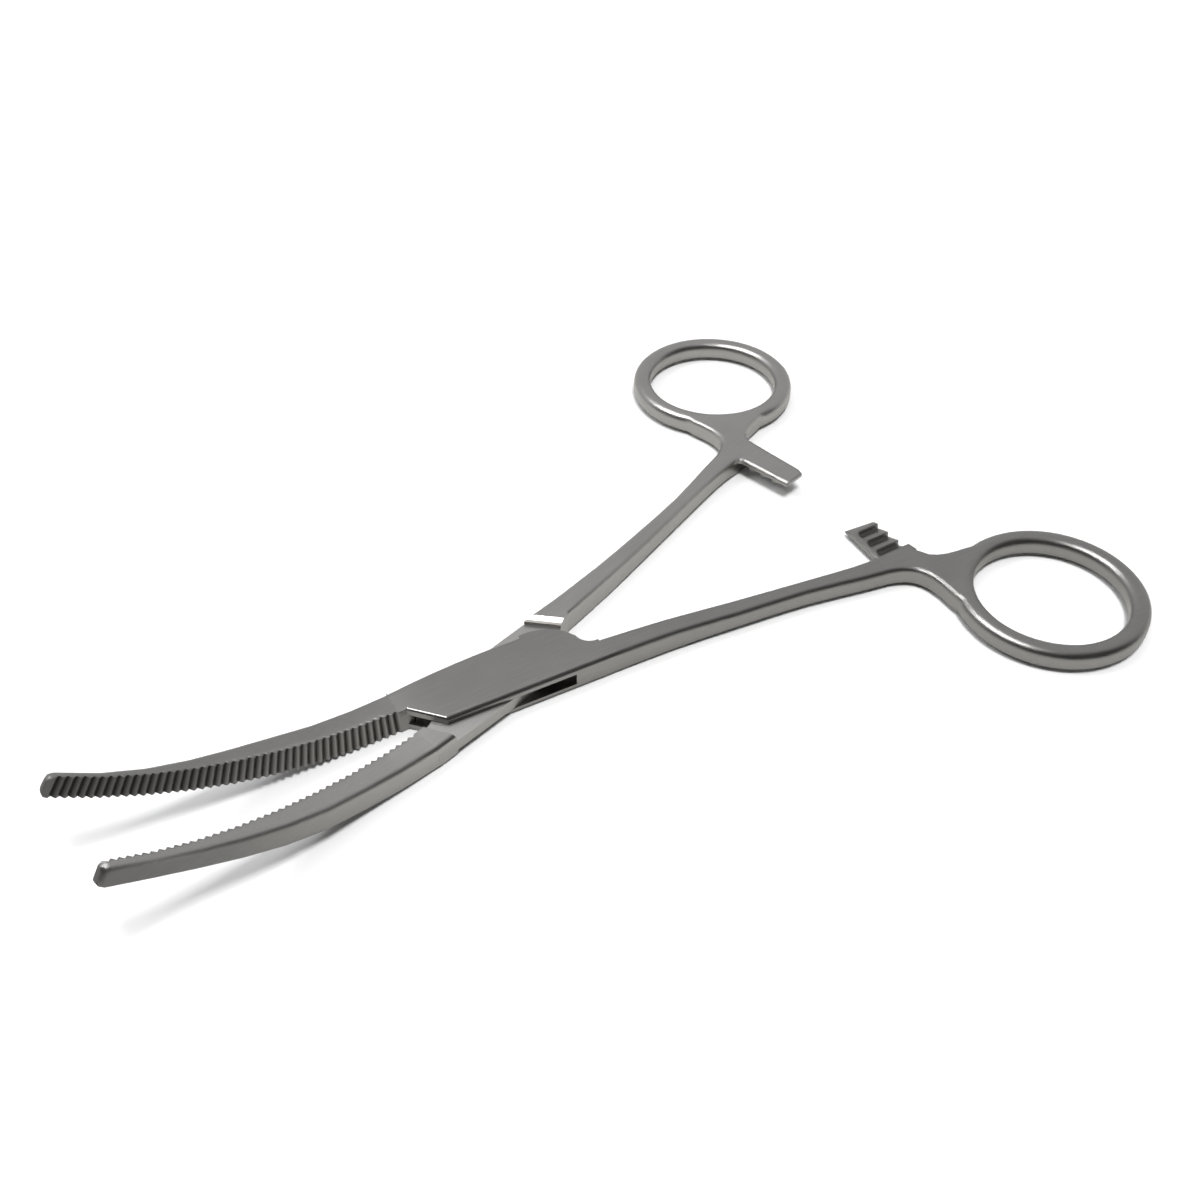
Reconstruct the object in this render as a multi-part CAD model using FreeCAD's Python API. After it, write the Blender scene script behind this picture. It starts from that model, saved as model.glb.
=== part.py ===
"""Curved haemostatic forceps with a box lock, finger rings and a ratchet.

Frame: the pivot axis is Z through the origin, the flat underside of the
lock is Z = 0, the rings lie towards +X and the jaw tips towards -X.
Both halves are drawn in the closed position and then turned about the
pivot to the half-open resting position. Sizes are in millimetres.
"""
import math
import os

import FreeCAD
import Part

os.makedirs("parts", exist_ok=True)

# whole instrument
pivot_to_tip = 62.1
half_opening = 7.4
join_step = 0.03

# box lock
lock_thickness = 4.3
lock_wall = 1.15
lock_clearance = 0.05
edge_round = 0.9
wall_edge_round = 0.4
shoulder_bevel_width = 1.1
shoulder_bevel_depth = 0.6
lock_front = 15.0
lock_rear = 13.3
lock_end = 16.0
slot_end = 9.4
slot_front = 10.9
box_outer_side = 5.5
box_ring_side = 4.5
tongue_half_width = 4.7

# pivot pin
pin_diameter = 3.2
pin_clearance = 0.04

# jaws
jaw_width = 4.5
jaw_mid_width = 3.9
jaw_tip_width = 1.6
jaw_tip_height = 3.3
jaw_bend_radius = 78.5
jaw_nose = 1.0
jaw_stations = 8
heel_gap = 0.35
tip_gap = 0.04
tooth_pitch = 1.1
tooth_depth = 0.42
tooth_margin = 0.9

# shanks and neck
handle_thickness = 3.5
shank_root_offset = 3.8
shank_root_width = 4.1
shank_lower_x = 27.0
shank_lower_offset = 4.85
shank_lower_width = 3.5
shank_lower_thickness = 4.0
shank_middle_x = 38.0
shank_middle_offset = 6.4
shank_middle_width = 3.2
shank_upper_x = 50.0
shank_upper_offset = 8.2
shank_upper_width = 2.8
shank_end_x = 60.0
shank_end_offset = 10.1
shank_end_width = 3.4
shank_thickness = 3.35
shank_round = 0.9
inner_round = 0.55

# finger rings
ring_x = 82.8
ring_y = 29.3
ring_length = 30.6
ring_narrowing = 0.7
ring_flattening = 0.3
ring_bar_width = 3.2
ring_round = 1.15

# ratchet
ratchet_x = 65.9
ratchet_width = 6.2
ratchet_root = 8.8
ratchet_level = 1.5
ratchet_tooth_height = 0.9
ratchet_tooth_pitch = 2.62
ratchet_teeth = 3
ratchet_clearance = 0.06
first_lower_tooth = 0.4
lower_reach = 1.5
lower_end_slant = 0.75
lower_lip = 0.8
lower_edge_round = 0.8
upper_reach = 2.25
upper_width = 4.7
upper_edge_round = 0.5
upper_edge_height = 0.9
upper_inset = 1.35
upper_end_height = 0.7

middle = lock_thickness / 2
up = FreeCAD.Vector(0, 0, 1)


def vec(x, y, z=0.0):
    return FreeCAD.Vector(x, y, z)


def rounded_section(outer, inner, height, outer_radius, inner_radius, rise=up):
    """Closed outline across a bar, from its outer side to its inner side."""
    across = (inner - outer).normalize()
    half = rise * (height / 2)
    corners = [
        (outer + half, rise, across, outer_radius),
        (inner + half, across, rise * -1, inner_radius),
        (inner - half, rise * -1, across * -1, inner_radius),
        (outer - half, across * -1, rise, outer_radius),
    ]
    short = 1 - math.sqrt(0.5)
    edges = []
    last = outer - half + rise * outer_radius
    for corner, arriving, leaving, radius in corners:
        start = corner - arriving * radius
        finish = corner + leaving * radius
        bend = corner + (leaving - arriving) * (radius * short)
        edges.append(Part.makeLine(last, start))
        if radius > 0:
            edges.append(Part.Arc(start, bend, finish).toShape())
        last = finish
    return Part.Wire(edges)


def prism(points, bottom, top):
    corners = [vec(x, y, bottom) for x, y in points]
    wire = Part.makePolygon(corners + [corners[0]])
    return Part.Face(wire).extrude(vec(0, 0, top - bottom))


def canted_prism(points, along, depth):
    """Prism over a closed outline of points, pushed along a direction."""
    wire = Part.makePolygon(points + [points[0]])
    return Part.Face(wire).extrude(along * depth)


def rounding_profile(edge, outward, radius, rise):
    """Sliver between a sharp edge and its rounding, across the edge."""
    spare = 1.0
    on_face = edge - outward * radius
    on_side = edge - rise * radius
    centre = on_face - rise * radius
    bend = centre + (outward + rise) * (radius * math.sqrt(0.5))
    edges = [
        Part.Arc(on_face, bend, on_side).toShape(),
        Part.makeLine(on_side, on_side + outward * spare),
        Part.makeLine(on_side + outward * spare, edge + (outward + rise) * spare),
        Part.makeLine(edge + (outward + rise) * spare, on_face + rise * spare),
        Part.makeLine(on_face + rise * spare, on_face),
    ]
    return Part.Face(Part.Wire(edges))


def both_edges(point):
    """Top and bottom end of a plan point on the lock's side."""
    return ((vec(point.x, point.y, lock_thickness), up), (vec(point.x, point.y, 0), up * -1))


def straight_rounding(first, second, side, radius):
    """Cutters that round the top and bottom edges along a straight side."""
    along = (second - first).normalize()
    outward = vec(-along.y, along.x) * side
    length = (second - first).Length
    cutters = []
    for edge, rise in both_edges(first):
        cutters.append(rounding_profile(edge, outward, radius, rise).extrude(along * length))
    return cutters


def curved_rounding(first, over, last, radius):
    """Cutters that round the top and bottom edges along an arc."""
    centre = Part.Arc(first, over, last).toShape().Curve.Center
    sweep = math.degrees((first - centre).getAngle(last - centre))
    turn = (first - centre).cross(last - centre).z
    outward = (first - centre).normalize()
    cutters = []
    for edge, rise in both_edges(first):
        profile = rounding_profile(edge, outward, radius, rise)
        cutters.append(profile.revolve(centre, up * math.copysign(1, turn), sweep))
    return cutters


# jaws

def jaw_gap(x):
    """Distance of a closed jaw's gripping face from the middle plane."""
    share = (x + pivot_to_tip) / (pivot_to_tip - lock_end)
    return tip_gap + (heel_gap - tip_gap) * share


bend_end = math.asin((pivot_to_tip - lock_end) / jaw_bend_radius)
bend_length = jaw_bend_radius * bend_end


def jaw_frame(distance):
    """Middle point and up direction at a distance from the start of the bend."""
    if distance <= 0:
        return vec(-lock_end - distance, 0, middle), vec(0, 0, 1)
    angle = distance / jaw_bend_radius
    x = -lock_end - jaw_bend_radius * math.sin(angle)
    z = middle + jaw_bend_radius * (1 - math.cos(angle))
    return vec(x, 0, z), vec(math.sin(angle), 0, math.cos(angle))


def fall(share):
    """Smooth step from 1 at the start of the taper to 0 at its end."""
    place = min(max((share - 0.28) / 0.62, 0), 1)
    return (1 + math.cos(math.pi * place)) / 2


def jaw_section(distance, scale=1.0):
    centre, rise = jaw_frame(distance)
    share = distance / bend_length
    width = jaw_tip_width + (jaw_mid_width - jaw_tip_width) * fall(share)
    width += (jaw_width - jaw_mid_width) * max(1 - share / 0.25, 0)
    height = jaw_tip_height + (lock_thickness - 2 * join_step - jaw_tip_height) * fall(share)
    radius = min(edge_round, width * scale * 0.55)
    inner = centre + vec(0, -jaw_gap(centre.x), 0)
    outer = inner + vec(0, -width * scale, 0)
    return rounded_section(outer, inner, height * scale, radius, 0, rise)


def jaw(phase):
    """Jaw on the -Y side with its cross serrations."""
    straight = bend_length - jaw_nose
    sections = [jaw_section(straight * index / jaw_stations) for index in range(jaw_stations + 1)]
    sections.append(jaw_section(bend_length - jaw_nose * 0.35, 0.9))
    sections.append(jaw_section(bend_length, 0.62))
    body = Part.makeLoft(sections, True, True)
    cutters = []
    room = bend_length + lock_end - lock_front - tooth_margin
    count = int(room / tooth_pitch)
    for index in range(count):
        distance = bend_length - tooth_margin - (index + phase) * tooth_pitch
        centre, rise = jaw_frame(distance)
        along = rise.cross(vec(0, 1, 0))
        face = centre + vec(0, -jaw_gap(centre.x), 0)
        spread = tooth_pitch * 0.46
        start = face - rise * lock_thickness
        points = [
            start + along * (spread * 1.5) + vec(0, tooth_depth * 0.5, 0),
            start - vec(0, tooth_depth, 0),
            start - along * (spread * 1.5) + vec(0, tooth_depth * 0.5, 0),
        ]
        cutters.append(canted_prism(points, rise, 2 * lock_thickness))
    return body.cut(Part.makeCompound(cutters))


# shank, neck and ring

def smooth_value(place, stops):
    """Value at a place on a smooth curve through the stops."""
    last = len(stops) - 1
    index = max(i for i in range(last) if stops[i][0] <= place)
    slopes = []
    for i in (index, index + 1):
        before, after = stops[max(i - 1, 0)], stops[min(i + 1, last)]
        slopes.append((after[1] - before[1]) / (after[0] - before[0]))
    (x0, y0), (x1, y1) = stops[index], stops[index + 1]
    span = x1 - x0
    t = (place - x0) / span
    rise = (3 - 2 * t) * t * t
    return (
        y0 * (1 - rise)
        + y1 * rise
        + slopes[0] * span * t * (1 - t) ** 2
        - slopes[1] * span * t * t * (1 - t)
    )


def shank_row(x, offset, width, height):
    return (x, offset + width / 2, x, offset - width / 2, height)


def neck_row(outer_x, outer_y, inner_x, inner_y):
    """Outer and inner side of the neck, measured from the ring's centre."""
    height = handle_thickness - 2 * join_step
    return (ring_x + outer_x, ring_y + outer_y, ring_x + inner_x, ring_y + inner_y, height)


def handle():
    """Shank, neck and finger ring on the +Y side."""
    root_height = lock_thickness - 2 * join_step
    rows = [
        shank_row(lock_end, shank_root_offset, shank_root_width, root_height),
        shank_row(shank_lower_x, shank_lower_offset, shank_lower_width, shank_lower_thickness),
        shank_row(shank_middle_x, shank_middle_offset, shank_middle_width, shank_thickness),
        shank_row(shank_upper_x, shank_upper_offset, shank_upper_width, shank_thickness),
        shank_row(shank_end_x, shank_end_offset, shank_end_width, shank_thickness),
        neck_row(-18.6, -16.7, -18.2, -20.55),
        neck_row(-16.2, -15.75, -14.8, -20.4),
        neck_row(-14.7, -14.45, -11.7, -19.1),
        neck_row(-13.85, -12.3, -10.4, -16.8),
        neck_row(-13.65, -9.7, -7.9, -15.5),
        neck_row(-13.8, -7.1, -4.8, -14.95),
        neck_row(-13.65, -5.2, -2.25, -14.5),
    ]
    sections = []
    steps = 2 * (len(rows) - 1)
    for index in range(steps + 1):
        outer_x, outer_y, inner_x, inner_y, height = [
            smooth_value(index / 2, list(enumerate(column))) for column in zip(*rows)
        ]
        outer = vec(outer_x, outer_y, middle)
        inner = vec(inner_x, inner_y, middle)
        sections.append(rounded_section(outer, inner, height, shank_round, inner_round))
    return Part.makeLoft(sections, True, True).fuse(ring())


def ring():
    """Oval finger ring made of four tangent arcs, its edges broken all round."""
    half_length = (ring_length - ring_bar_width) / 2
    half_breadth = half_length - ring_narrowing / 2
    end_radius = half_breadth - ring_flattening
    shift = half_length - end_radius
    side_radius = (shift ** 2 + half_breadth ** 2 - end_radius ** 2) / (2 * ring_flattening)
    drop = side_radius - half_breadth
    lean = math.atan2(drop, shift)
    across = ring_bar_width / 2 - ring_round
    upright = handle_thickness / 2 - ring_round
    pieces = []
    for centre_x, centre_y, radius, start, finish in (
        (shift, 0, end_radius, -lean, lean),
        (0, -drop, side_radius, lean, math.pi - lean),
        (-shift, 0, end_radius, math.pi - lean, math.pi + lean),
        (0, drop, side_radius, math.pi + lean, 2 * math.pi - lean),
    ):
        centre = vec(centre_x, centre_y, middle)
        outward = vec(math.cos(start), math.sin(start))
        corners = []
        for sideways, vertical, first in ((1, 1, 0), (-1, 1, 90), (-1, -1, 180), (1, -1, 270)):
            for step in range(4):
                angle = math.radians(first + 30 * step)
                out = radius + sideways * across + ring_round * math.cos(angle)
                rise = vertical * upright + ring_round * math.sin(angle)
                corners.append(centre + outward * out + up * rise)
        section = Part.Face(Part.makePolygon(corners + [corners[0]]))
        pieces.append(section.revolve(centre, up, math.degrees(finish - start)))
    body = pieces[0].fuse(pieces[1:]).removeSplitter()
    body.rotate(vec(0, 0), up, 90)
    body.translate(vec(ring_x, ring_y))
    return body


# ratchet

tooth_low = ratchet_level - ratchet_tooth_height / 2
tooth_high = ratchet_level + ratchet_tooth_height / 2
handle_bottom = middle - handle_thickness / 2
handle_top = middle + handle_thickness / 2
tooth_heel = 0.2
ramp_length = ratchet_tooth_pitch - tooth_heel
first_upper_tooth = ramp_length - first_lower_tooth
bar_end = ratchet_root + 1.2
bar_top = handle_top - 2 * join_step
bar_bottom = handle_bottom + 2 * join_step


def saw_line(first, crest, valley):
    """Crests and valleys of the saw teeth from the bar's end towards its root."""
    points = []
    for index in range(ratchet_teeth):
        y = first + index * ratchet_tooth_pitch
        points += [(y, crest), (y + tooth_heel, valley)]
    return points


def side_prism(points, first_x, last_x):
    """Prism along X over an outline of (y, z) points."""
    outline = [vec(first_x, y, z) for y, z in points]
    return canted_prism(outline, vec(1, 0, 0), last_x - first_x)


def lower_ratchet():
    """Bar at the lower level with scooped grooves that stop short of its front edge."""
    crest = tooth_high - ratchet_clearance
    valley = tooth_low - ratchet_clearance
    slope = (crest - valley) / ramp_length
    rear = ratchet_x + ratchet_width
    front_end = vec(ratchet_x + 0.7, -lower_reach, bar_bottom)
    front_root = vec(ratchet_x - 0.1, bar_end, bar_bottom)
    bar = prism(
        [
            (front_end.x, front_end.y),
            (rear, -lower_end_slant),
            (rear, bar_end),
            (front_root.x, front_root.y),
        ],
        bar_bottom,
        crest,
    )
    lead_end = -lower_reach - 1
    lead = [
        (first_lower_tooth, crest),
        (lead_end, crest - slope * (first_lower_tooth - lead_end)),
        (lead_end, crest),
    ]
    cutters = [side_prism(lead, ratchet_x - 1, rear + 1)]
    for index in range(ratchet_teeth):
        y = first_lower_tooth + index * ratchet_tooth_pitch
        last = y + ratchet_tooth_pitch
        front = ratchet_x + lower_lip + 0.6 - 0.25 * index
        groove = [(y, crest), (y + tooth_heel, valley), (last, crest + 0.001), (last, crest + 1), (y, crest + 1)]
        plan = chain(
            (rear + 1, y),
            (rear + 1, last),
            (front + 0.9, last),
            ((front, (y + last) / 2 + 0.1), (front + 0.7, y)),
        )
        cutters.append(side_prism(groove, ratchet_x, rear + 1).common(outline_prism(plan, 0, lock_thickness)))
    along = front_root - front_end
    outward = vec(-along.y, along.x).normalize()
    cutters.append(rounding_profile(front_end, outward, lower_edge_round, up * -1).extrude(along))
    return bar.cut(cutters)


def upper_ratchet():
    """Bar at the upper level, its teeth underneath and set back under its front edge."""
    rear = ratchet_x + upper_width
    edge_bottom = bar_top - upper_edge_height
    cove = upper_inset - 0.2
    front = ratchet_x
    short = upper_edge_round * (1 - math.sqrt(0.5))
    section = [
        Part.Arc(
            vec(front, 0, bar_top - upper_edge_round),
            vec(front + short, 0, bar_top - short),
            vec(front + upper_edge_round, 0, bar_top),
        ).toShape(),
        Part.makeLine(vec(front + upper_edge_round, 0, bar_top), vec(rear + 1, 0, bar_top)),
        Part.makeLine(vec(rear + 1, 0, bar_top), vec(rear + 1, 0, tooth_low)),
        Part.makeLine(vec(rear + 1, 0, tooth_low), vec(front + upper_inset, 0, tooth_low)),
        Part.makeLine(vec(front + upper_inset, 0, tooth_low), vec(front + upper_inset, 0, edge_bottom - 0.5)),
        Part.makeLine(vec(front + upper_inset, 0, edge_bottom - 0.5), vec(front + cove - 0.3, 0, edge_bottom)),
        Part.makeLine(vec(front + cove - 0.3, 0, edge_bottom), vec(front, 0, edge_bottom)),
        Part.makeLine(vec(front, 0, edge_bottom), vec(front, 0, bar_top - upper_edge_round)),
    ]
    bar = Part.Face(Part.Wire(section)).extrude(vec(0, bar_end + upper_reach, 0))
    bar.translate(vec(0, -upper_reach, 0))
    saw = [(-upper_reach - 1, bar_top - upper_end_height), (-upper_reach, bar_top - upper_end_height)]
    saw += [(first_upper_tooth - ramp_length, tooth_high)]
    saw += saw_line(first_upper_tooth, tooth_low, tooth_high)
    saw += [(bar_end + 1, tooth_high), (bar_end + 1, bar_top + 1), (-upper_reach - 1, bar_top + 1)]
    plan = prism(
        [
            (front - 1, bar_end),
            (front - 1, -upper_reach),
            (rear - 0.7, -upper_reach),
            (rear - 0.2, -upper_reach + 1.2),
            (rear + 0.6, bar_end),
        ],
        0,
        lock_thickness,
    )
    return bar.common(side_prism(saw, ratchet_x - 1, rear + 2)).common(plan)


def upper_fillet():
    """Rounded corner between the shank and the front of the upper bar."""
    reach = 0.9
    edges = chain(
        (ratchet_x - reach, ratchet_root + 0.6),
        (ratchet_x - reach, ratchet_root - 0.2),
        ((ratchet_x - 0.25, ratchet_root - 0.45), (ratchet_x, ratchet_root - reach - 0.2)),
        (ratchet_x + 0.6, ratchet_root - reach - 0.2),
        (ratchet_x + 0.6, ratchet_root + 0.6),
    )
    return outline_prism(edges, bar_top - upper_edge_height, bar_top - join_step / 2)


def root_block():
    """Corner between the shank and the rear of the ratchet bar."""
    rear = ratchet_x + ratchet_width - 1
    points = [
        (ratchet_x - 1.4, ratchet_root + 0.1),
        (rear, ratchet_root + 0.1),
        (rear + 0.2, ratchet_root + 1.8),
        (rear - 1.2, ratchet_root + 3.4),
        (ratchet_x + 2, ratchet_root + 4.2),
    ]
    return prism(points, handle_bottom + 1.5 * join_step, handle_top - 1.5 * join_step)


# box lock

def line_cutter(first, second, side, bottom, top):
    """Slab on one side of the line through two plan points."""
    along = (second - first).normalize()
    across = vec(-along.y, along.x) * side
    reach = 3 * lock_end
    points = [
        first - along * reach,
        first + along * reach,
        first + along * reach + across * reach,
        first - along * reach + across * reach,
    ]
    return prism([(p.x, p.y) for p in points], bottom, top)


shank_inner_root = shank_root_offset - shank_root_width / 2 - join_step
shank_outer_root = shank_root_offset + shank_root_width / 2 + join_step
jaw_inner_root = -jaw_gap(-lock_end)
jaw_outer_root = jaw_inner_root - jaw_width - join_step
heel = vec(-lock_front - 0.1, -jaw_gap(-lock_front))
front_shoulder = (vec(-lock_front - 0.1, 0.35), vec(-lock_front + 2.3, -4.6))
rear_shoulder = (vec(lock_rear - 2.9, 5.7), vec(lock_rear + 0.2, 1.2))
tongue_thickness = lock_thickness - 2 * lock_wall - 2 * lock_clearance
tongue_top = middle + tongue_thickness / 2
tongue_bottom = middle - tongue_thickness / 2


def outline_prism(edges, bottom, top):
    wire = Part.Wire(edges)
    wire.translate(vec(0, 0, bottom))
    return Part.Face(wire).extrude(vec(0, 0, top - bottom))


def chain(*steps):
    """Edges through plan points; a step of two points is an arc."""
    edges = []
    here = vec(*steps[0])
    for step in steps[1:]:
        if len(step) == 2 and isinstance(step[0], tuple):
            over, there = vec(*step[0]), vec(*step[1])
            edges.append(Part.Arc(here, over, there).toShape())
        else:
            there = vec(*step)
            edges.append(Part.makeLine(here, there))
        here = there
    edges.append(Part.makeLine(here, vec(*steps[0])))
    return edges


def tongue_block():
    """Middle of the male half before its tongue is cut down."""
    edges = chain(
        (-lock_end, jaw_outer_root),
        (1.5, -tongue_half_width),
        ((7.8, -2.9), (lock_rear + 0.3, shank_inner_root - 0.8)),
        (lock_end, shank_inner_root),
        (lock_end, shank_outer_root),
        (5.0, shank_outer_root - 0.35),
        ((1.2, 5.2), (-2.5, 4.45)),
        (heel.x, heel.y),
        (-lock_end, jaw_inner_root),
    )
    block = outline_prism(edges, 0, lock_thickness)
    jaw_side = (vec(-lock_end, jaw_outer_root), vec(1.5, -tongue_half_width))
    shank_side = (vec(5.0, shank_outer_root - 0.35), vec(lock_end, shank_outer_root))
    cutters = straight_rounding(jaw_side[0], jaw_side[1], -1, edge_round)
    cutters += straight_rounding(shank_side[0], shank_side[1], 1, edge_round)
    return block.cut(cutters)


def shoulder_bevel():
    """Wedge ground off the top edge of the rear shoulder."""
    first, second = rear_shoulder
    along = second - first
    outward = vec(-along.y, along.x).normalize()
    start = first - along
    low = start - outward * (0.2 * shoulder_bevel_width)
    high = start + outward * (1.2 * shoulder_bevel_width)
    points = [
        low + up * (lock_thickness - 1.2 * shoulder_bevel_depth),
        high + up * (lock_thickness + 0.2 * shoulder_bevel_depth),
        low + up * (lock_thickness + 0.2 * shoulder_bevel_depth),
    ]
    return canted_prism(points, along, 3)


def male_half():
    parts = [jaw(0.0), tongue_block(), root_block(), upper_ratchet(), upper_fillet()]
    body = handle().fuse(parts).removeSplitter()
    for bottom, top in ((-1, tongue_bottom), (tongue_top, lock_thickness + 1)):
        front = line_cutter(front_shoulder[0], front_shoulder[1], 1, bottom, top)
        rear = line_cutter(rear_shoulder[0], rear_shoulder[1], -1, bottom, top)
        body = body.cut(front.common(rear))
    bore = Part.makeCylinder(pin_diameter / 2 + pin_clearance, lock_thickness)
    return body.cut([bore, shoulder_bevel()])


def box_block():
    """Box of the female half, drawn like the male half and mirrored later."""
    edges = chain(
        (-lock_front + 0.15, jaw_inner_root),
        (-lock_end, jaw_inner_root),
        (-lock_end, jaw_outer_root),
        ((-4.5, -box_outer_side), (6.0, -box_outer_side + 0.3)),
        ((10.4, -4.2), (lock_rear - 0.7, -2.3)),
        (lock_rear + 0.2, -0.7),
        ((lock_rear + 0.85, 0.95), (lock_end, shank_inner_root)),
        (lock_end, shank_outer_root),
        (-lock_front + 4.4, box_ring_side),
    )
    block = outline_prism(edges, 0, lock_thickness)
    ring_side = (vec(-lock_front + 4.4, box_ring_side), vec(lock_end, shank_outer_root))
    jaw_side = (
        vec(-lock_end, jaw_outer_root),
        vec(-4.5, -box_outer_side),
        vec(6.0, -box_outer_side + 0.3),
    )
    front_edge = (vec(-lock_front + 4.4, box_ring_side), vec(-lock_front + 0.15, jaw_inner_root))
    cutters = straight_rounding(ring_side[0], ring_side[1], 1, edge_round)
    cutters += straight_rounding(front_edge[0], front_edge[1], -1, wall_edge_round)
    cutters += curved_rounding(jaw_side[0], jaw_side[1], jaw_side[2], edge_round)
    return block.cut(cutters)


def slot():
    """Space inside the box, open on both sides, that the tongue swings in."""
    points = [
        (-lock_front - 0.4, jaw_inner_root),
        (-lock_front + 1.3, jaw_inner_root),
        (-slot_front, -box_outer_side - 1),
        (lock_end + 6, -box_outer_side - 1),
        (lock_end + 6, 0.4),
        (lock_rear - 0.1, 0.4),
        (slot_end, box_outer_side + 1),
        (-lock_end - 6, box_outer_side + 1),
        (-lock_end - 6, jaw_inner_root + 0.02),
        (-lock_front - 0.4, jaw_inner_root + 0.02),
    ]
    return prism(points, lock_wall, lock_thickness - lock_wall)


def female_half():
    body = handle().fuse([jaw(0.5), box_block(), root_block(), lower_ratchet()]).removeSplitter()
    body = body.cut(slot())
    bore = Part.makeCylinder(pin_diameter / 2, lock_thickness)
    return body.cut(bore).mirror(vec(0, 0), vec(0, 1))


def pivot_pin():
    return Part.makeCylinder(pin_diameter / 2, lock_thickness)


def solid_of(shape):
    return shape.Solids[0] if len(shape.Solids) == 1 else shape


# half-open resting position
male = solid_of(male_half())
male.rotate(vec(0, 0), up, half_opening)
female = solid_of(female_half())
female.rotate(vec(0, 0), up, -half_opening)

for name, shape in (("male_half", male), ("female_half", female), ("pivot_pin", pivot_pin())):
    shape.exportStep("parts/" + name + ".step")
    print(name, shape.ShapeType, shape.isValid(), round(shape.Volume, 2))
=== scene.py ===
from math import cos, radians, sin

import bpy
from mathutils import Matrix, Vector

# Curved haemostatic forceps in satin stainless steel, lying part open on a pale
# floor with their jaw tips curving up. Metres, with +X from the pivot towards the
# finger rings and +Z up along the pivot.

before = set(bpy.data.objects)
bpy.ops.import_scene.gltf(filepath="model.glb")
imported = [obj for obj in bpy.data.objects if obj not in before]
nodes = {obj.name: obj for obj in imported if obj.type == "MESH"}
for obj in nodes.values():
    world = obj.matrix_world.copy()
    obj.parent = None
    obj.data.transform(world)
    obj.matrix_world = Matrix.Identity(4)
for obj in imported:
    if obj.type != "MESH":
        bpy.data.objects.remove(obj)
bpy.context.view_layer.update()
print("frame loaded:", ", ".join(sorted(nodes)))


# Node helpers. A socket is fed a value of its own or another node's output.

nodeStep = 150  # between the nodes of a chain in the editor


def addNode(tree, kind, place, **settings):
    node = tree.nodes.new(kind)
    node.location = place
    for name, value in settings.items():
        setattr(node, name, value)
    return node


def feed(tree, target, value):
    if isinstance(value, bpy.types.NodeSocket):
        tree.links.new(value, target)
    else:
        target.default_value = value


def addMath(tree, operation, place, *values, **settings):
    node = addNode(tree, "ShaderNodeMath", place, operation=operation, **settings)
    for target, value in zip(node.inputs, values):
        feed(tree, target, value)
    return node.outputs["Value"]


def addProduct(tree, place, *factors):
    product = factors[0]
    for step, factor in enumerate(factors[1:]):
        spot = (place[0] + nodeStep * step, place[1])
        product = addMath(tree, "MULTIPLY", spot, product, factor)
    return product


def addRange(tree, place, source, limits, results, **settings):
    node = addNode(tree, "ShaderNodeMapRange", place, **settings)
    names = ("Value", "From Min", "From Max", "To Min", "To Max")
    for name, value in zip(names, (source, *limits, *results)):
        feed(tree, node.inputs[name], value)
    return node.outputs["Result"]


# Soft-edged mask: 0 at the first limit and 1 at the second.

def addMask(tree, place, source, limits):
    return addRange(tree, place, source, limits, (0.0, 1.0), interpolation_type="SMOOTHSTEP")


def addMix(tree, place, share, first, second, kind="RGBA"):
    node = addNode(tree, "ShaderNodeMix", place, data_type=kind)
    for name, value in (("Factor", share), ("A", first), ("B", second)):
        feed(tree, node.inputs[name], value)
    return node.outputs["Result"]


def addSplit(tree, place, vector):
    node = addNode(tree, "ShaderNodeSeparateXYZ", place)
    feed(tree, node.inputs["Vector"], vector)
    return node.outputs


def addDot(tree, place, vector, direction):
    node = addNode(tree, "ShaderNodeVectorMath", place, operation="DOT_PRODUCT")
    feed(tree, node.inputs[0], vector)
    feed(tree, node.inputs[1], direction)
    return node.outputs["Value"]


# Even shading: faces that meet at a shallow angle are shaded as one surface, so the
# ground faces read as smooth and only the real corners stay crisp. On the male half
# the shallow edge along the top of the ground shoulder stays crisp too.

smoothing = {
    "weld": 0.00004,  # closes the fine steps where the forms of a half join
    "corner": 33.0,
    "keenCorner": 24.0,
    "shoulder": (0.0128, 0.0034),  # middle along X, and reach to each side of it
    "topFace": (0.0043, 0.0002),  # height, and reach above and below it
}


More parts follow.
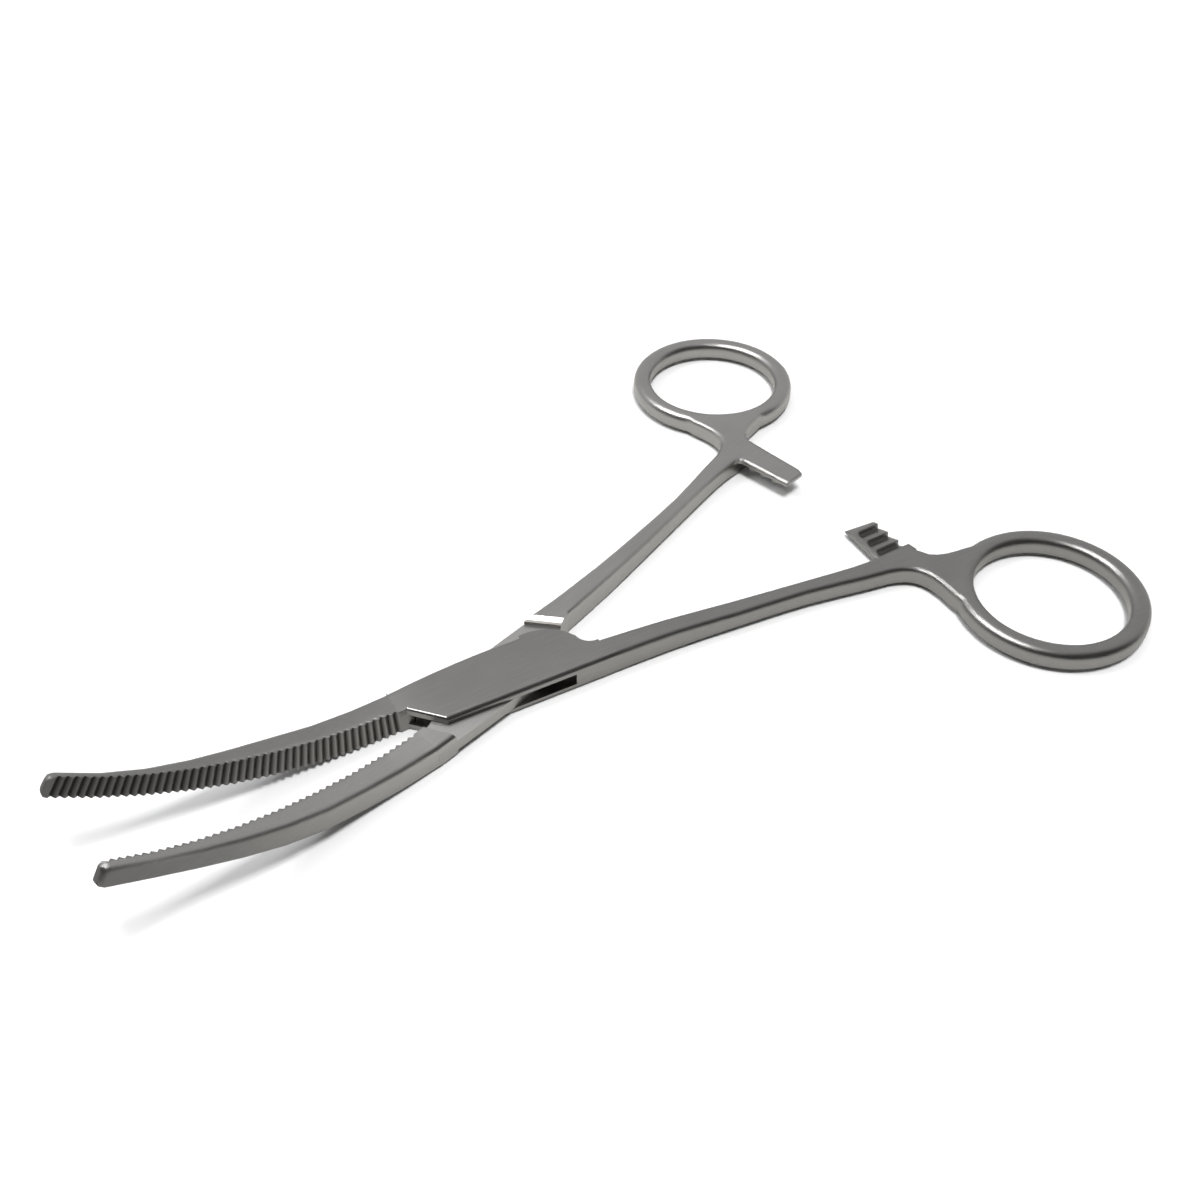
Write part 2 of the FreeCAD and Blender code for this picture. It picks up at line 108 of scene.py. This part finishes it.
def makeSmoother(name, look, keen):
    tree = bpy.data.node_groups.new(name, "GeometryNodeTree")
    tree.interface.new_socket("Geometry", in_out="INPUT", socket_type="NodeSocketGeometry")
    tree.interface.new_socket("Geometry", in_out="OUTPUT", socket_type="NodeSocketGeometry")
    entry = addNode(tree, "NodeGroupInput", (-800, 0))
    weld = addNode(tree, "GeometryNodeMergeByDistance", (-600, 0))
    weld.inputs["Distance"].default_value = look["weld"]
    plain = addNode(tree, "GeometryNodeRemoveAttribute", (-400, 0))
    plain.inputs["Name"].default_value = "custom_normal"
    smooth = addNode(tree, "GeometryNodeSetShadeSmooth", (-200, 0), domain="FACE")
    smooth.inputs["Shade Smooth"].default_value = True
    crisp = addNode(tree, "GeometryNodeSetShadeSmooth", (0, 0), domain="EDGE")
    crisp.inputs["Shade Smooth"].default_value = False
    leave = addNode(tree, "NodeGroupOutput", (200, 0))
    limit = radians(look["corner"])
    if keen:
        place = addNode(tree, "GeometryNodeInputPosition", (-1200, -480))
        parts = addSplit(tree, (-1000, -480), place.outputs["Position"])
        behind = addMath(tree, "COMPARE", (-800, -400), parts["X"], *look["shoulder"])
        topmost = addMath(tree, "COMPARE", (-800, -600), parts["Z"], *look["topFace"])
        edge = addProduct(tree, (-600, -480), behind, topmost)
        less = radians(look["keenCorner"]) - limit
        limit = addMath(tree, "MULTIPLY_ADD", (-400, -480), edge, less, limit)
    bend = addNode(tree, "GeometryNodeInputMeshEdgeAngle", (-400, -240))
    corner = addNode(tree, "FunctionNodeCompare", (-200, -240), operation="GREATER_THAN")
    feed(tree, corner.inputs["A"], bend.outputs["Unsigned Angle"])
    feed(tree, corner.inputs["B"], limit)
    feed(tree, crisp.inputs["Selection"], corner.outputs["Result"])
    steps = (entry, weld, plain, smooth, crisp, leave)
    for step, following in zip(steps, steps[1:]):
        feed(tree, following.inputs["Geometry"], step.outputs["Geometry"])
    return tree


smoother = makeSmoother("evenShading", smoothing, False)
keenSmoother = makeSmoother("keenShading", smoothing, True)


# Where the look of the steel changes, on one half turned back to its closed position:
# the serrated gripping face, duller and with painted shade deepest in its grooves, the
# ground tongue inside the lock, painted shade at the foot of the bevelled shoulder, and
# the edges of jaws and handles that are rubbed soft. A pair says where a mask is empty
# and where it is full.

zoneSizes = {
    "halfOpening": 7.4,  # degrees that each half is turned away from closed
    "gripFace": (-0.00105, -0.00085),
    "jawStart": (-0.0146, -0.0150),
    "upright": (0.22, 0.34),  # how far a face looks sideways
    "jawEnds": (-0.0621, -0.0160),
    "jawGaps": (0.00004, 0.00035),  # from the middle plane to a closed jaw, at its ends
    "grooveDepths": (-0.00005, -0.00036),
    "crestShare": 0.08,  # of the grooves' painted shade that the crests have
    "tongueFloor": (0.0030, 0.00305),
    "tongueTop": (0.00325, 0.0032),
    "lockReach": (0.0165, 0.0160),
    "bevelFloor": (0.00325, 0.0033),
    "bevelFoot": (0.00392, 0.00386),
    "bevelFacing": (0.74, 0.80),  # how far a face looks up
    "bevelPlace": (0.0120, 0.0040),  # middle along X, and reach to each side of it
    "softReach": (0.0165, 0.0185),
    "streakScale": (150.0, 6500.0, 6500.0),
    "streakDetail": 3.0,
}


def makeZones(sizes):
    tree = bpy.data.node_groups.new("steelZones", "ShaderNodeTree")
    tree.interface.new_socket("Side", in_out="INPUT", socket_type="NodeSocketFloat")
    for name in ("GripGrooveShade", "Ground", "FootShade", "Soft", "Streak"):
        tree.interface.new_socket(name, in_out="OUTPUT", socket_type="NodeSocketFloat")
    leave = addNode(tree, "NodeGroupOutput", (400, 0))

    # Side is -1 for the half with the box and 1 for the half with the tongue.
    side = addNode(tree, "NodeGroupInput", (-1400, -200)).outputs["Side"]
    coordinates = addNode(tree, "ShaderNodeTexCoord", (-1400, 0))
    closed = addNode(tree, "ShaderNodeVectorRotate", (-1000, 0), rotation_type="Z_AXIS")
    angle = addMath(tree, "MULTIPLY", (-1200, -200), side, -radians(sizes["halfOpening"]))
    feed(tree, closed.inputs["Vector"], coordinates.outputs["Object"])
    feed(tree, closed.inputs["Angle"], angle)
    place = addSplit(tree, (-800, 0), closed.outputs["Vector"])
    facing = addSplit(tree, (-800, -500), coordinates.outputs["Normal"])
    inward = addMath(tree, "MULTIPLY", (-600, -200), place["Y"], side)
    reach = addMath(tree, "ABSOLUTE", (-600, 600), place["X"])

    # Gripping face, duller, with painted shade darkest at the bottom of its grooves.
    sideways = addMath(tree, "ABSOLUTE", (-600, -500), facing["Y"])
    onFace = addMask(tree, (-400, -200), inward, sizes["gripFace"])
    onJaw = addMask(tree, (-400, 0), place["X"], sizes["jawStart"])
    upright = addMask(tree, (-400, -500), sideways, sizes["upright"])
    toothed = addProduct(tree, (-200, -100), onFace, onJaw, upright)
    gap = addRange(tree, (-600, -350), place["X"], sizes["jawEnds"], sizes["jawGaps"], clamp=False)
    depth = addMath(tree, "ADD", (-400, -350), inward, gap)
    grooveShade = addRange(tree, (-200, -350), depth, sizes["grooveDepths"], (sizes["crestShare"], 1.0))
    feed(tree, leave.inputs["GripGrooveShade"], addProduct(tree, (200, -200), toothed, grooveShade))

    # Ground top of the tongue.
    above = addMask(tree, (-400, 200), place["Z"], sizes["tongueFloor"])
    below = addMask(tree, (-400, 400), place["Z"], sizes["tongueTop"])
    within = addMask(tree, (-400, 600), reach, sizes["lockReach"])
    level = addProduct(tree, (-200, 300), above, below, within)
    ground = addMath(tree, "MULTIPLY", (200, 300), level, side, use_clamp=True)
    feed(tree, leave.inputs["Ground"], ground)

    # Painted shade at the foot of the bevelled shoulder behind the lock.
    raised = addMask(tree, (-400, 1200), place["Z"], sizes["bevelFloor"])
    foot = addMask(tree, (-400, 1000), place["Z"], sizes["bevelFoot"])
    tilted = addMask(tree, (-400, 1400), facing["Z"], sizes["bevelFacing"])
    behind = addMath(tree, "COMPARE", (-400, 1600), place["X"], *sizes["bevelPlace"])
    feed(tree, leave.inputs["FootShade"], addProduct(tree, (-200, 1200), foot, raised, tilted, behind))

    # Soft edges, away from the lock and the serrations.
    beyond = addMask(tree, (-400, 800), reach, sizes["softReach"])
    spared = addMath(tree, "SUBTRACT", (0, 600), 1.0, toothed)
    feed(tree, leave.inputs["Soft"], addProduct(tree, (200, 600), spared, beyond))

    # Fine grinding lines along the instrument.
    stretch = addNode(tree, "ShaderNodeVectorMath", (-600, -800), operation="MULTIPLY")
    feed(tree, stretch.inputs[0], closed.outputs["Vector"])
    feed(tree, stretch.inputs[1], sizes["streakScale"])
    streak = addNode(tree, "ShaderNodeTexNoise", (-400, -800))
    feed(tree, streak.inputs["Vector"], stretch.outputs["Vector"])
    feed(tree, streak.inputs["Scale"], 1.0)
    feed(tree, streak.inputs["Detail"], sizes["streakDetail"])
    feed(tree, leave.inputs["Streak"], streak.outputs["Fac"])
    return tree


zones = makeZones(zoneSizes)


# Satin steel. The grain is very fine, the brightness drifts slowly over the surface
# and the roughness wanders with it. The serrations are duller, with painted shade
# darkest at the bottom of their grooves, the foot of the shoulder has painted shade,
# and the ground tongue inside the lock is paler.

steelLook = {
    "base": (0.345, 0.34, 0.33, 1.0),
    "deep": (0.30, 0.295, 0.285, 1.0),
    # Duller serrated face, with painted shade in its grooves:
    "gripGrooveShade": (0.105, 0.10, 0.096, 1.0),
    "ground": (0.50, 0.49, 0.475, 1.0),
    # Painted shade at the foot of the shoulder:
    "footShade": (0.09, 0.085, 0.08, 1.0),
    "metallic": 1.0,
    "roughness": (0.27, 0.37),
    "gripRoughness": 0.42,
    "groundRoughness": 0.36,
    "driftScale": 120.0,
    "driftDetail": 3.0,
    "grainScale": 2600.0,
    "grainDetail": 4.0,
    "grainStrength": 0.05,
    "grainHeight": 0.00005,
    "streakSpread": (0.3, 0.7),
    "streakRange": (0.94, 1.06),
    "softEdge": 0.0008,
    "softSamples": 4,
}

# Painted light: the male half's copy of the same steel is made brighter than the female half and the
# pin.

pieceLooks = {
    "female_half": {"side": -1.0, "shade": 1.0, "smoother": smoother},
    "male_half": {"side": 1.0, "shade": 1.36, "smoother": keenSmoother},
    "pivot_pin": {"side": 1.0, "shade": 1.0, "smoother": smoother},
}


def addNoise(tree, place, vector, scale, detail):
    node = addNode(tree, "ShaderNodeTexNoise", place)
    for name, value in (("Vector", vector), ("Scale", scale), ("Detail", detail)):
        feed(tree, node.inputs[name], value)
    return node.outputs["Fac"]


def shaded(colour, shade):
    return [shade * value for value in colour[:3]] + [1.0]


def makeSteel(name, look, side, shade):
    material = bpy.data.materials.new(name)
    material.use_nodes = True
    tree = material.node_tree
    tree.nodes.clear()
    output = addNode(tree, "ShaderNodeOutputMaterial", (900, 0))
    shader = addNode(tree, "ShaderNodeBsdfPrincipled", (600, 0))
    place = addNode(tree, "ShaderNodeTexCoord", (-900, 0)).outputs["Object"]
    zone = addNode(tree, "ShaderNodeGroup", (-600, 500), node_tree=zones)
    zone.inputs["Side"].default_value = side
    finish = zone.outputs
    drift = addNoise(tree, (-600, 200), place, look["driftScale"], look["driftDetail"])
    grain = addNoise(tree, (-600, -200), place, look["grainScale"], look["grainDetail"])

    # Colour: drifting steel, then each zone over it, then the grinding lines.
    # Painted light: the male half's copy of the steel is lightened by its factor.
    base, deep = shaded(look["base"], shade), shaded(look["deep"], shade)
    colour = addMix(tree, (-300, 200), drift, deep, base)
    # Duller serrations, with painted shade deepest in their grooves.
    colour = addMix(tree, (-100, 200), finish["GripGrooveShade"], colour, look["gripGrooveShade"])
    colour = addMix(tree, (100, 200), finish["Ground"], colour, look["ground"])
    # Painted shade at the foot of the shoulder.
    colour = addMix(tree, (300, 200), finish["FootShade"], colour, look["footShade"])
    lines = addRange(tree, (200, 460), finish["Streak"], look["streakSpread"], look["streakRange"])
    lined = addNode(tree, "ShaderNodeVectorMath", (450, 300), operation="SCALE")
    feed(tree, lined.inputs["Vector"], colour)
    feed(tree, lined.inputs["Scale"], lines)

    # Roughness: the same drift and zones.
    rough = addRange(tree, (-300, -60), drift, (0.0, 1.0), look["roughness"])
    rough = addMix(tree, (0, -60), finish["GripGrooveShade"], rough, look["gripRoughness"], "FLOAT")
    rough = addMix(tree, (200, -60), finish["Ground"], rough, look["groundRoughness"], "FLOAT")

    # Surface: softened edges under the grain.
    soft = addNode(tree, "ShaderNodeBevel", (-300, -400), samples=look["softSamples"])
    radius = addMath(tree, "MULTIPLY", (-500, -500), finish["Soft"], look["softEdge"])
    bump = addNode(tree, "ShaderNodeBump", (0, -320))
    feed(tree, soft.inputs["Radius"], radius)
    feed(tree, bump.inputs["Strength"], look["grainStrength"])
    feed(tree, bump.inputs["Distance"], look["grainHeight"])
    feed(tree, bump.inputs["Height"], grain)
    feed(tree, bump.inputs["Normal"], soft.outputs["Normal"])

    feed(tree, shader.inputs["Metallic"], look["metallic"])
    feed(tree, shader.inputs["Base Color"], lined.outputs["Vector"])
    feed(tree, shader.inputs["Roughness"], rough)
    feed(tree, shader.inputs["Normal"], bump.outputs["Normal"])
    feed(tree, output.inputs["Surface"], shader.outputs["BSDF"])
    return material


for name, look in pieceLooks.items():
    piece = nodes[name]
    piece.data.materials.clear()
    piece.data.materials.append(makeSteel(name + "Steel", steelLook, look["side"], look["shade"]))
    piece.modifiers.new("evenShading", "NODES").node_group = look["smoother"]
print("steel made")


# Floor: one pale sheet. Close up it shows its shadows, and further out it is plain
# white to the camera. In the metal's reflections it is painted darker, with painted
# shade deepest beside the jaws.

floorLook = {
    "size": 3.0,
    "roughness": 1.0,
    "colour": (0.9, 0.9, 0.9, 1.0),
    "white": (1.0, 1.0, 1.0, 1.0),
    # Painted shade of the floor as the metal mirrors it, deepest beside the jaws:
    "mirrored": (0.60, 0.60, 0.58, 1.0),
    "deepReflectedShade": (0.22, 0.22, 0.22, 1.0),
    "fadeSide": (-0.85, -0.52, 0.0),
    "fadeRange": (0.012, 0.062),
    "paleRange": (0.22, 0.50),
}


def makeFloor(look):
    bpy.ops.mesh.primitive_plane_add(size=look["size"], location=(0, 0, 0))
    floor = bpy.context.object
    floor.name = "floor"
    material = bpy.data.materials.new("floorPaper")
    material.use_nodes = True
    tree = material.node_tree
    shader = tree.nodes["Principled BSDF"]
    path = addNode(tree, "ShaderNodeLightPath", (-600, 100))
    place = addNode(tree, "ShaderNodeTexCoord", (-1200, 0)).outputs["Object"]

    beside = addDot(tree, (-1000, -300), place, look["fadeSide"])
    fade = addMask(tree, (-800, -300), beside, look["fadeRange"])
    # Painted shade in the floor, seen only in the metal's reflections.
    mirrored = addMix(tree, (-600, -300), fade, look["mirrored"], look["deepReflectedShade"])
    paper = addMix(tree, (-300, 0), path.outputs["Is Glossy Ray"], look["colour"], mirrored)

    distance = addNode(tree, "ShaderNodeVectorMath", (-1000, 300), operation="LENGTH")
    feed(tree, distance.inputs[0], place)
    pale = addMask(tree, (-800, 300), distance.outputs["Value"], look["paleRange"])
    glow = addProduct(tree, (-300, 300), pale, path.outputs["Is Camera Ray"])

    feed(tree, shader.inputs["Base Color"], paper)
    feed(tree, shader.inputs["Roughness"], look["roughness"])
    feed(tree, shader.inputs["Emission Color"], look["white"])
    feed(tree, shader.inputs["Emission Strength"], glow)
    floor.data.materials.append(material)


makeFloor(floorLook)


# Studio surroundings: white to the camera, and for the metal to mirror there is a
# pale grey far wall, a slightly darker ceiling and a dark room on the viewer's side.

roomLook = {
    "far": (0.55, 0.55, 0.56, 1.0),
    "near": (0.06, 0.06, 0.062, 1.0),
    "ceiling": (0.45, 0.45, 0.45, 1.0),
    "white": (1.0, 1.0, 1.0, 1.0),
    "nearSide": (-0.616, -0.788, 0.0),
    "nearRange": (-0.25, 0.15),
    "ceilingRange": (0.86, 0.99),
}


def makeRoom(look):
    world = bpy.data.worlds.new("studio")
    bpy.context.scene.world = world
    world.use_nodes = True
    tree = world.node_tree
    tree.nodes.clear()
    sky = addNode(tree, "ShaderNodeBackground", (200, 0))
    output = addNode(tree, "ShaderNodeOutputWorld", (400, 0))
    path = addNode(tree, "ShaderNodeLightPath", (-200, 400))
    view = addNode(tree, "ShaderNodeTexCoord", (-1000, 0)).outputs["Generated"]
    side = addDot(tree, (-800, 200), view, look["nearSide"])
    height = addSplit(tree, (-800, -200), view)["Z"]
    sideShare = addMask(tree, (-600, 200), side, look["nearRange"])
    heightShare = addMask(tree, (-600, -200), height, look["ceilingRange"])
    walls = addMix(tree, (-400, 100), sideShare, look["far"], look["near"])
    room = addMix(tree, (-200, 0), heightShare, walls, look["ceiling"])
    seen = addMix(tree, (0, 100), path.outputs["Is Camera Ray"], room, look["white"])
    feed(tree, sky.inputs["Color"], seen)
    feed(tree, output.inputs["Surface"], sky.outputs["Background"])


makeRoom(roomLook)


# Lamps: a small lamp overhead throws the shadows, a weak one from the left throws a
# second fainter set, a wide wash keeps the paper white, and a long soft box that
# shows only in the metal draws the bright lines along the rounded edges.

lampLook = {
    "keyLamp": {"place": (-0.04, -0.19, 0.65), "size": (0.16, 0.16), "power": 3.3, "inMetal": False},
    "fillLamp": {"place": (-0.38, 0.31, 0.55), "size": (0.20, 0.20), "power": 1.3, "inMetal": False},
    "washLamp": {"place": (0.02, 0.0, 1.60), "size": (1.5, 1.5), "power": 8.0, "inMetal": False},
    "stripBox": {"place": (-0.13, 0.175, 0.56), "size": (0.13, 0.48), "power": 3.0, "inMetal": True},
}


def addLamp(name, look):
    data = bpy.data.lights.new(name, "AREA")
    data.shape = "RECTANGLE"
    data.size, data.size_y = look["size"]
    data.energy = look["power"]
    lamp = bpy.data.objects.new(name, data)
    bpy.context.scene.collection.objects.link(lamp)
    place = Vector(look["place"])
    away = place.normalized()
    along = (Vector((0, 1, 0)) - away * away.y).normalized()
    turned = Matrix((along.cross(away), along, away)).transposed().to_4x4()
    lamp.matrix_world = Matrix.Translation(place) @ turned
    lamp.visible_glossy = look["inMetal"]
    lamp.visible_diffuse = not look["inMetal"]


for name, look in lampLook.items():
    addLamp(name, look)
print("studio made")


# Camera: the view that the photograph was taken from.

viewpoint = {
    "azimuth": -37.838,
    "elevation": 42.142,
    "roll": -0.972,
    "target": (0.022955, 0.004846, 0.0020),
    "distance": 0.205047,
    "lens": 38.703,
    "sensor": 36.0,
    "shift": (-0.0005, 0.0),
    "clip": (0.01, 10.0),
}


def makeCamera(look):
    turn, rise, roll = (radians(look[key]) for key in ("azimuth", "elevation", "roll"))
    back = Vector((sin(turn) * cos(rise), -cos(turn) * cos(rise), sin(rise)))
    right = (-back).cross(Vector((0, 0, 1))).normalized()
    up = right.cross(-back)
    rolledRight = right * cos(roll) + up * sin(roll)
    rolledUp = up * cos(roll) - right * sin(roll)
    data = bpy.data.cameras.new("camera")
    data.sensor_width = look["sensor"]
    data.lens = look["lens"]
    data.shift_x, data.shift_y = look["shift"]
    data.clip_start, data.clip_end = look["clip"]
    camera = bpy.data.objects.new("camera", data)
    bpy.context.scene.collection.objects.link(camera)
    axes = Matrix((rolledRight, rolledUp, back)).transposed().to_4x4()
    camera.matrix_world = Matrix.Translation(Vector(look["target"]) + back * look["distance"]) @ axes
    bpy.context.scene.camera = camera


makeCamera(viewpoint)
bpy.context.scene.view_settings.view_transform = "Standard"
print("camera set")
